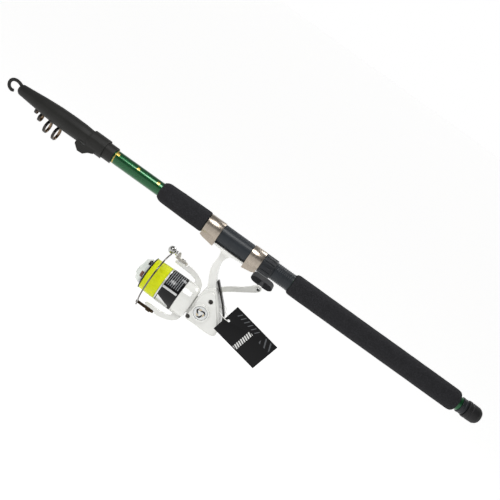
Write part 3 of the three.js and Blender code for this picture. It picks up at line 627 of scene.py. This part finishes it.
def wound_line():
    """Fluorescent nylon line: turns of 0.3 mm, drawn at 0.7 mm, crossing at a slight angle, with painted
    shade between the turns.
    """
    m, t, s, v = finish("wound yellow nylon line", "#eef800", 0.4, Specular_IOR_Level=0.3)
    x, angle = spool_polar(t, v)
    along = maths(t, "MULTIPLY", x, 2 * math.pi / TURN_PITCH)
    turn_count = maths(t, "ADD", along, maths(t, "MULTIPLY", angle, 6.0))
    turns = between(t, maths(t, "SINE", turn_count), 0, 1, -1, 1)
    uneven = noise(t, stretched(t, v, 1, 0.3, 0.3), 2.5)
    # Painted shade: each turn's colour darkens towards the grooves beside it, more in some places than
    # others.
    shade = maths(t, "MULTIPLY", turns, between(t, uneven, 0.6, 1.0))
    t.links.new(blended(t, shade, "#cfdc00", "#fbff14"), s.inputs["Base Color"])
    t.links.new(between(t, uneven, 0.28, 0.5), s.inputs["Roughness"])
    relief(t, s, turns, 0.12)
    return m


def cut_brass():
    """Machined brass with fine tool marks 0.4 mm apart."""
    m, t, s, v = finish("machined brass", "#b89a4e", 0.35, metal=1.0)
    marks = noise(t, stretched(t, v, 1, 0.15, 0.15), 0.4)
    t.links.new(blended(t, marks, "#8c7131", "#d4b868"), s.inputs["Base Color"])
    t.links.new(between(t, marks, 0.25, 0.5), s.inputs["Roughness"])
    return m


def printed_card():
    """Black card with a fine paper tooth, a row of pale strokes and two of grey strokes."""
    m, t, s, v = finish("printed black card", "#101012", 0.5, Specular_IOR_Level=0.15)
    on_card = {"Location": CARD_MIDDLE, "Rotation": (0, CARD_TILT, 0)}
    place = node_in(t, "ShaderNodeMapping", {0: v}, on_card, vector_type="TEXTURE")
    x, _, z = node_in(t, "ShaderNodeSeparateXYZ", {0: place.outputs[0]}).outputs

    def strokes(along, across, slant, pitch, width):
        """Slanted strokes: on where (along + slant across) mod pitch is under the width."""
        line = maths(t, "ADD", maths(t, "ADD", along, 200.0), maths(t, "MULTIPLY", across, slant))
        return maths(t, "LESS_THAN", maths(t, "MODULO", line, pitch), width)

    def zone(x0, x1, z0, z1):
        """On inside one rectangle of the card."""
        return both(t, inside(t, x, x0, x1), inside(t, z, z0, z1))

    pale = both(t, strokes(z, x, slant=0.3, pitch=3.3, width=1.9), zone(25.4, 31.4, -19.0, 9.5))
    edge = both(t, strokes(x, z, slant=-0.5, pitch=5.6, width=1.3), zone(1.0, 34.0, 12.5, 18.5))
    broad = both(t, strokes(x, z, slant=0.6, pitch=7.5, width=2.0), zone(42.0, 58.0, 8.0, 18.5))
    tooth = noise(t, v, 0.8)
    base = blended(t, tooth, "#0b0b0c", "#151517")
    grey = blended(t, maths(t, "MAXIMUM", edge, broad), base, "#5b5d60")
    t.links.new(blended(t, pale, grey, "#e4e4e2"), s.inputs["Base Color"])
    t.links.new(between(t, tooth, 0.42, 0.6), s.inputs["Roughness"])
    relief(t, s, tooth, 0.02)
    return m


def knob_acrylic():
    """Milky acrylic. In its flank, brown click parts darkened by painted recess shade, and a black patch of
    painted recess shade.
    """
    m, t, s, v = finish("milky acrylic with painted recess shade", "#e6ebe4", 0.2, coat=0.4)
    x, angle = spool_polar(t, v)
    # The brown of the click parts, partly painted recess shade.
    brown = both(t, inside(t, x, *BROWN_X), inside(t, angle, *BROWN_ANGLE))
    # Painted recess shade, in black.
    black = both(t, inside(t, x, *RECESS_SHADE_X), inside(t, angle, *RECESS_SHADE_ANGLE))
    cloud = blended(t, noise(t, v, 8.0), "#d3dad2", "#eef1ec")
    with_brown = blended(t, brown, cloud, "#6b3a26")
    t.links.new(blended(t, black, with_brown, "#1c1c1c"), s.inputs["Base Color"])
    t.links.new(between(t, noise(t, v, 3.0), 0.16, 0.28), s.inputs["Roughness"])
    return m


def cap_disc():
    """A pale silver disc with dark and gold arcs round its middle."""
    m, t, s, v = finish("silver disc with gold arcs", "#d9dad8", 0.3, metal=0.6)
    p = node_in(t, "ShaderNodeSeparateXYZ", {0: v})
    dx = maths(t, "SUBTRACT", p.outputs[0], CRANK_AXIS[0])
    dz = maths(t, "ADD", p.outputs[2], CRANK_AXIS[1])
    square = maths(t, "ADD", maths(t, "MULTIPLY", dx, dx), maths(t, "MULTIPLY", dz, dz))
    far = maths(t, "SQRT", square)
    angle = maths(t, "ARCTAN2", dz, dx)
    swirl = maths(t, "ADD", maths(t, "MULTIPLY", angle, 3.0), maths(t, "MULTIPLY", far, 1.1))
    petals = maths(t, "SINE", swirl)
    dark = both(t, inside(t, far, *DARK_ARCS), maths(t, "GREATER_THAN", petals, 0.25))
    gold = both(t, inside(t, far, *GOLD_ARCS), maths(t, "LESS_THAN", petals, -0.55))
    silver = blended(t, noise(t, v, 2.0), "#c3c5c4", "#eceded")
    with_gold = blended(t, gold, silver, "#b8974a")
    t.links.new(blended(t, dark, with_gold, "#1a1a1c"), s.inputs["Base Color"])
    t.links.new(between(t, dark, 0.25, 0.45), s.inputs["Roughness"])
    return m


WHITE = gloss_abs("gloss white ABS", "#f3f3ef", "#e8e8e3")
MILKY = knob_acrylic()
SATIN_NICKEL = plated("satin nickel plate", "#ebe8e0", "#c9c4b8", 0.4)
DARK_CHROME = plated("black chrome plate", "#3c3a38", "#161514", 0.16)
KNOB_BLACK = seat_nylon("soft black handle rubber", "#1c1c1f", "#121214", 0.6)
CHROME = plated("chrome plate", "#d6d6d4", "#9a9a98", 0.1)
WIRE_STEEL = plated("dark polished bail wire", "#8d8a86", "#4c4a48", 0.16)
BRONZE = plated("dark bronze plate", "#5d4c39", "#2a231b", 0.28)
BLACK_METAL = plated("black plated guide metal", "#5a5754", "#1c1b1a", 0.2)
RING = plated("polished brown guide ring", "#b59c80", "#4c4036", 0.14)
SKIRT = spool_skirt()
LINE = wound_line()
BRASS = cut_brass()
CARD = printed_card()
DISC = cap_disc()
NYLON = gloss_abs("white nylon cord", "#f6f6f2", "#e2e2dc")
print("all finishes:", len(bpy.data.materials))

# %% [markdown]
# ## The rod
# The blank is one tube. The foam grips were turned on a lathe and then ground, so their ends
# are soft. Their surfaces get a shallow unevenness besides the material's cells.

# %% Blank, grips, ferrule and butt cap
BORE = 8.7


def ground(x, r, a):
    """Foam ground by hand: a wander of 0.08 mm made of three slow waves round and along the grip."""
    wander = np.sin(x * 0.11 + 2 * a) + np.sin(x * 0.043 - 3 * a + 1) + np.sin(x * 0.27 + a + 2)
    return np.where(r > BORE + 0.5, r + 0.026 * wander - 0.08, r)


def even_steps(profile, step=1.5):
    """A profile with extra points so that no stretch is longer than the step."""
    out = [np.array(profile[0], float)]
    for a, b in zip(np.array(profile[:-1], float), np.array(profile[1:], float)):
        count = max(1, int(np.linalg.norm(b - a) / step))
        out += [a + (b - a) * k / count for k in range(1, count + 1)]
    return np.array(out)


blank = lathe("blank", [(-197, 7.4), (-197, 8.4), (318, 8.4), (318, 7.4), (-197, 7.4)])
stands_for(blank, "butt_section", GREEN)

fore = [(-103.5, BORE), (-103.5, 9.6), (-100.5, 11.6), (-97, 12.5), (-70, 13.0), (-41, 13.3),
        (-39.2, 12.3), (-39.2, BORE)]
foregrip = lathe("foregrip_foam", even_steps(rounded(fore, 1.2).tolist() + [fore[0]]), shape=ground)
stands_for(foregrip, "foregrip", FOAM)

lower = [(80.4, BORE), (80.4, 11.4), (82.2, 12.9), (85, 13.3), (308, 13.3), (311.8, 12.6), (313.4, 11.0),
         (313.4, BORE)]
lower_grip = lathe("lower_grip_foam", even_steps(rounded(lower, 1.4).tolist() + [lower[0]]), shape=ground)
stands_for(lower_grip, "lower_grip", FOAM)

ferrule = [(304, 0), (304, 7.1), (318.3, 7.1), (318.3, 9.6), (320.2, 9.6), (320.8, 9.2), (322.6, 9.2),
           (323.2, 9.5), (325.6, 9.0), (325.6, 0)]
stands_for(lathe("ferrule", rounded(ferrule, 0.4)), "butt_ferrule", NUT_NYLON)
butt = [(326, 0), (326, 10.2), (327, 10.5), (330, 10.5), (330.7, 9.9), (331.6, 9.9), (332.3, 10.4),
        (340.7, 10.1), (344.1, 8.3), (345.7, 6.2), (345.7, 0)]
stands_for(lathe("butt_cap_rubber", rounded(butt, 0.9)), "butt_cap", RUBBER)
print("lower grip faces:", len(lower_grip.data.polygons))

# %% [markdown]
# ### Reel seat
# The barrel carries a thread, and the nut on it is ribbed for grip. The ribs are a radius that
# varies with the angle, so they are real shape and not paint.

# %% Seat, hoods and nut
NUT_RIBS = 14
RIB_DEPTH = 0.9
RIB_ENDS = (40.2, 53.6)
RIB_FADE = 0.8
NUT_BODY = 11.4                   # only what lies further out than this is ribbed


def ribbed(x, r, a):
    """Outer radius that dips between ribs: r - depth (1 - |cos 7a|)^4, fading at the nut's ends."""
    dip = (1 - np.abs(np.cos(NUT_RIBS / 2 * a))) ** 4
    start, end = RIB_ENDS
    middle = np.clip((x - start) / RIB_FADE, 0, 1) * np.clip((end - x) / RIB_FADE, 0, 1)
    return np.where(r > NUT_BODY, r - RIB_DEPTH * dip * middle, r)


nut = [(38.8, 11.15), (38.8, 12.0), (39.3, 12.3), (54.4, 12.3), (55, 11.9), (55, 11.15), (38.8, 11.15)]
nut_piece = lathe("locking_nut_ribbed", even_steps(nut, 0.5), sides=168, shape=ribbed)
stands_for(nut_piece, "locking_nut", NUT_NYLON)

THREAD_PITCH = 2.4
THREAD_DEPTH = 0.45
THREAD_ENDS = (38.0, 79.4)
THREAD_FADE = 1.5
OUTSIDE = 10                      # the barrel's outside is beyond this radius
BED = 11.0                        # how far below the axis the foot's flat bed lies


def threaded(x, r, a):
    """r - depth (1 + cos(2 pi x / pitch)) / 2 on the thread, and z >= -bed under the foot."""
    start, end = THREAD_ENDS
    zone = np.clip((x - start) / THREAD_FADE, 0, 1) * np.clip((end - x) / THREAD_FADE, 0, 1)
    zone = zone * (r > OUTSIDE)
    turned_down = r - THREAD_DEPTH * zone * (1 + np.cos(2 * np.pi * x / THREAD_PITCH)) / 2
    below = np.maximum(-np.sin(a), 0.01)
    return np.where(r > OUTSIDE, np.minimum(turned_down, BED / below), r)


barrel = [(-38.9, BORE), (-38.9, 10.6), (-38.7, 10.8), (-18.6, 10.8), (-18.6, 11.3), (-18.4, 11.5),
          (21.4, 11.5), (21.6, 11.3), (21.6, 10.8), (79.8, 10.8), (80, 10.6), (80, BORE), (-38.9, BORE)]
barrel_piece = lathe("seat_barrel_threaded", even_steps(barrel, 0.3), sides=144, shape=threaded)
stands_for(barrel_piece, "seat_barrel", GRAPHITE)
stands_for(crisp("fixed_hood", 0.4), "fixed_hood", STEEL)
stands_for(crisp("sliding_hood", 0.4), "sliding_hood", STEEL)

# %% [markdown]
# ### Tip cap, guides and sections
# The cap is a soft-edged polypropylene moulding, so it is rebuilt on a fine grid and relaxed.
# The guides are bent plate and wire, small enough that a grid of a quarter millimetre is needed.

# %% Cap, lock ring, guides, tip-top and inner sections
stands_for(moulded("tip_cap", 0.45, 5), "tip_cap", SATIN)
stands_for(moulded("cap_lock_ring", 0.4, 4), "cap_lock_ring", SATIN)
RING_SET_BACK = 1.6               # the ring's middle behind the guide's front
RING_HALF = 1.5                   # half its length
RING_WALL = 0.35
GUIDES = {"guide_2": (-243.4, 19.2, 6.4), "guide_3": (-256.2, 18.6, 5.9),
          "guide_4": (-268.2, 14.0, 3.4), "guide_5": (-275.8, 10.4, 1.8)}
for name, (front, drop, hole) in GUIDES.items():
    stands_for(moulded(name + "_frame", 0.22, 3), name + "_frame", BLACK_METAL)
    a = np.linspace(0, 2 * np.pi, 17)
    along = front + RING_SET_BACK + RING_HALF * np.cos(a)
    round_edge = np.stack([along, hole + RING_WALL - RING_WALL * np.sin(a)], axis=-1)
    stands_for(lathe(name + "_polished", round_edge, drop=drop, sides=64), name + "_ring", RING)
stands_for(moulded("tip_top", 0.2, 3), "tip_top", BLACK_METAL)
for node in ("section_2", "section_3", "section_4", "section_5", "tip_section"):
    stands_for(crisp(node, 0.1), node, CHARCOAL)

# %% [markdown]
# ## The reel's body
# Foot, leg and gearbox came out of one mould, with fillets where they meet. The cover, the
# rotor, the crank arm and the knob are mouldings too. The cover keeps a finer grid because its
# raised ring and screw recesses are small.

# %% Housing, cover and what is fixed to them
stands_for(moulded("gearbox_housing", 0.5, 8), "gearbox_housing", WHITE)
stands_for(moulded("side_cover", 0.35, 5), "side_cover", WHITE)
stands_for(crisp("handle_hole_cap", 0.25), "handle_hole_cap", DISC)
stands_for(crisp("rear_guard", 0.3), "rear_guard", DARK_CHROME)
stands_for(moulded("anti_reverse_lever", 0.3, 4), "anti_reverse_lever", KNOB_BLACK)


def along_y(points, x, drop):
    """A turned shape's points laid along Y instead of X, through (x, -drop)."""
    p, q, r = points.T
    return np.stack([x - q, p, r - drop], axis=-1)


def cross_screw(name, node, place, front, top_radius, shank_end, shank_radius, material):
    """A turned pan head and shank along X. place(points) moves them to where they belong."""
    n = 48
    a = np.linspace(0, 2 * np.pi, n, endpoint=False)
    prof = np.array([(front + 0.25, 0.0), (front + 0.25, 0.5), (front, 0.75), (front, 0.7 * top_radius),
                     (front + 0.25, 0.93 * top_radius), (front + 0.7, top_radius), (front + 1.1, top_radius),
                     (front + 1.1, shank_radius), (shank_end, shank_radius), (shank_end, 0.0)])
    x = np.repeat(prof[:, :1], n, axis=1)
    r = np.repeat(prof[:, 1:], n, axis=1)
    arms = np.minimum(np.abs(np.sin(a)), np.abs(np.cos(a)))[None, :] * r < 0.42
    x = np.where(arms & (x < front + 0.2) & (r < 0.75 * top_radius), x + 0.5, x)
    verts = np.stack([x, r * np.cos(a), r * np.sin(a)], axis=-1).reshape(-1, 3)
    obj = piece_from(name, place(verts) * MM, grid_faces(len(prof), n))
    return stands_for(obj, node, material)


COVER_SCREWS = ((17.8, 72.6), (4.9, 105.0))
COVER_SCREW = {"front": -14.2, "top_radius": 2.6, "shank_end": -10.2, "shank_radius": 1.5}
for i, (x, drop) in enumerate(COVER_SCREWS, 1):
    cross_screw(f"cover_screw_{i}_turned", f"cover_screw_{i}", lambda p, x=x, d=drop: along_y(p, x, d),
                material=BLACK_METAL, **COVER_SCREW)

# %% [markdown]
# ## Rotor and bail
# The bail is a bent steel wire between two levers, ending in a chrome ball in front of the line
# roller. The wire's path is half an ellipse seen from the front of the reel.

# %% Rotor, levers, screws, wire and roller
stands_for(moulded("rotor", 0.5, 8), "rotor", WHITE)
stands_for(moulded("bail_lever", 0.3, 5), "bail_lever", SATIN_NICKEL)
stands_for(moulded("bail_counter_lever", 0.3, 4), "bail_counter_lever", BRONZE)


def arm_screw(sign):
    """Places a screw that points inwards along the rotor's Z, through the bail's pivot."""
    def place(points):
        p, q, r = points.T
        return on_rotor(np.stack([BAIL_PIVOT_X + q * sign, r, -p * sign], axis=-1))
    return place


PIVOT_SCREW = {"front": -38.0, "top_radius": 3.2, "shank_end": -28.4, "shank_radius": 1.55}
cross_screw("upper_pivot_screw", "bail_screw_upper", arm_screw(1), material=CHROME, **PIVOT_SCREW)
cross_screw("lower_pivot_screw", "bail_screw_lower", arm_screw(-1), material=BRONZE, **PIVOT_SCREW)

BALL = (-56.5, 0, 39.0)
BALL_R = 5.2
WIRE_R = 0.95
BAIL_X = -53.5
BAIL_REACH = 43.35                # half-axes of the wire's ellipse
BAIL_HALF_HEIGHT = 34.35
BAIL_FOOT = -38.15
BAIL_POINTS = 14
bail_path = [(-56, -1, 36.5), (-54.8, -5, 34.6)]
for i in range(1, BAIL_POINTS):
    a = i / BAIL_POINTS * math.pi
    bail_path.append((BAIL_X, -BAIL_REACH * math.sin(a), BAIL_HALF_HEIGHT * math.cos(a)))
bail_path += [(BAIL_X, -2.2, BAIL_FOOT), (BAIL_X, 0.6, BAIL_FOOT)]
bail = wire("bail_wire_bent", curve_through(bail_path, 120), WIRE_R, 16, on_rotor)
latitude = np.linspace(0, math.pi, 25)
ball_profile = np.stack([BALL[0] - BALL_R * np.cos(latitude), BALL_R * np.sin(latitude)], axis=-1)
ball = lathe("bail_ball", ball_profile, sides=48)
pin = lathe("roller_pin", [(-52.2, 0), (-52.2, 0.6), (-48.7, 0.6), (-48.7, 0)], sides=24)
for part in (ball, pin):
    co = np.empty(len(part.data.vertices) * 3)
    part.data.vertices.foreach_get("co", co)
    moved = on_rotor(co.reshape(-1, 3) / MM + [0, 0, BALL[2]]) * MM
    part.data.vertices.foreach_set("co", moved.ravel())
    part.data.materials.append(CHROME)
    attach(part, node_body["bail_wire"])
stands_for(bail, "bail_wire", WIRE_STEEL)
stands_for(crisp("line_roller", 0.3), "line_roller", CHROME)
print("bail wire faces:", len(bail.data.polygons))

# %% [markdown]
# ## Spool, line and drag knob
# The wound line bulges a little and every turn shows as a fine ridge, so its radius varies along
# X. The knob on the front is milky plastic with a raised bar that the fingers turn.

# %% Spool, line and knob
spool = [(-64.2, 13.4), (-64.2, 20.7), (-63.9, 21.2), (-63.4, 21.3), (-62.9, 20.9), (-62.9, 15.0),
         (-41.3, 15.0), (-41.3, 21.3), (-40.7, 22.0), (-40.3, 22.0), (-39.6, 21.7), (-39.0, 21.7),
         (-38.4, 22.0), (-18.4, 22.0), (-18.0, 21.7), (-18.0, 20.3), (-38.3, 20.3), (-38.3, 1.9),
         (-57, 1.9), (-57, 13.4), (-64.2, 13.4)]
stands_for(lathe("spool_turned", spool, SPOOL_DROP, 128), "spool", SKIRT)

LINE_FRONT, LINE_BACK = -62.6, -41.6
LINE_LENGTH = 21
LINE_CORE = 15.3
LINE_FRONT_R = 20.8
LINE_WIDENS = 0.9                 # radius gained from front to back
LINE_BULGE = 0.25
RIDGE = 0.07
LINE_SUNK = 0.3
LINE_LIMIT = 21.55                # the line stays below the spool's lips
xs = np.linspace(LINE_FRONT, LINE_BACK, 211)
share = (xs - LINE_FRONT) / LINE_LENGTH
swell = LINE_BULGE * np.sin(share * math.pi)
bulge = LINE_FRONT_R + LINE_WIDENS * (xs - LINE_FRONT) / LINE_LENGTH + swell - LINE_SUNK
ridges = np.minimum(bulge + RIDGE * np.sin(xs / TURN_PITCH * 2 * math.pi), LINE_LIMIT)
top = np.stack([xs, ridges], axis=-1)
winding = np.vstack([[(LINE_FRONT, LINE_CORE)], top, [(LINE_BACK, LINE_CORE), (LINE_FRONT, LINE_CORE)]])


def crossed(x, r, a):
    """Uneven winding: 0.06 mm more or less where the turns bunch."""
    return np.where(r > 16, r + 0.06 * np.sin(5 * a + x * 1.3) * np.sin(x * 0.6 + 2), r)


stands_for(lathe("line_wound", winding, SPOOL_DROP, 160, crossed), "line_winding", LINE)
stands_for(moulded("drag_knob", 0.35, 5), "drag_knob", MILKY)

# %% [markdown]
# ## Crank, tag and inner works
# The crank arm and its paddle knob are mouldings. The tag is card with its nylon tie. The inner
# works hardly show, but they get the metal that they are made of.

# %% Crank, knob, tag, tie and gears
stands_for(moulded("crank_arm", 0.4, 8), "crank_arm", WHITE)
stands_for(moulded("knob", 0.45, 10), "knob", KNOB_BLACK)
stands_for(crisp("knob_pin", 0.2), "knob_pin", CHROME)
stands_for(crisp("hang_tag", 0.12), "hang_tag", CARD)
stands_for(moulded("tag_tie", 0.15, 3), "tag_tie", NYLON)
for node in ("drive_gear", "oscillation_gear", "crosswind_slider", "pinion", "rotor_nut", "drag_washers"):
    stands_for(crisp(node, 0.1), node, BRASS)
for node in ("crank_bearing_left", "crank_bearing_right", "pinion_bearing", "one_way_clutch",
             "main_shaft"):
    stands_for(crisp(node, 0.15), node, CHROME)
